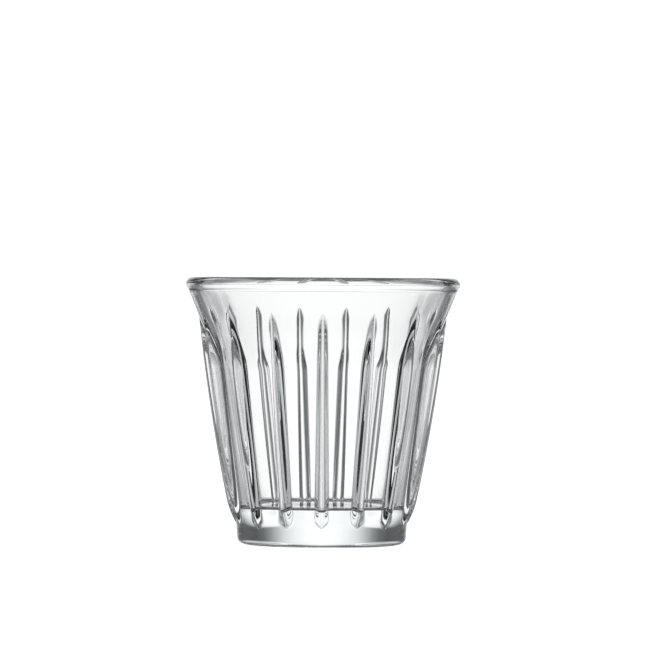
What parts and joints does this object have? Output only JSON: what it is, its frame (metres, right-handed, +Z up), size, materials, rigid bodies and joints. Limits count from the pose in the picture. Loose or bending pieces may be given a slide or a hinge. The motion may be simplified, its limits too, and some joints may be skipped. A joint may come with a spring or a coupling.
{
  "type": "glass espresso cup",
  "caption": "Bell-shaped clear pressed-glass espresso cup with a flared rounded lip, thick solid foot and a ring of raised lancet ribs.",
  "frame": {"origin": "centre of the resting plane under the foot", "axes": "+Z up along the cup's axis; one rib faces -Y"},
  "size_m": [0.07, 0.07, 0.068],
  "materials": {
    "clear_glass": "clear fire-polished pressed glass"
  },
  "bodies": {
    "root": {"glass_cup": "clear_glass"}
  },
  "joints": []
}
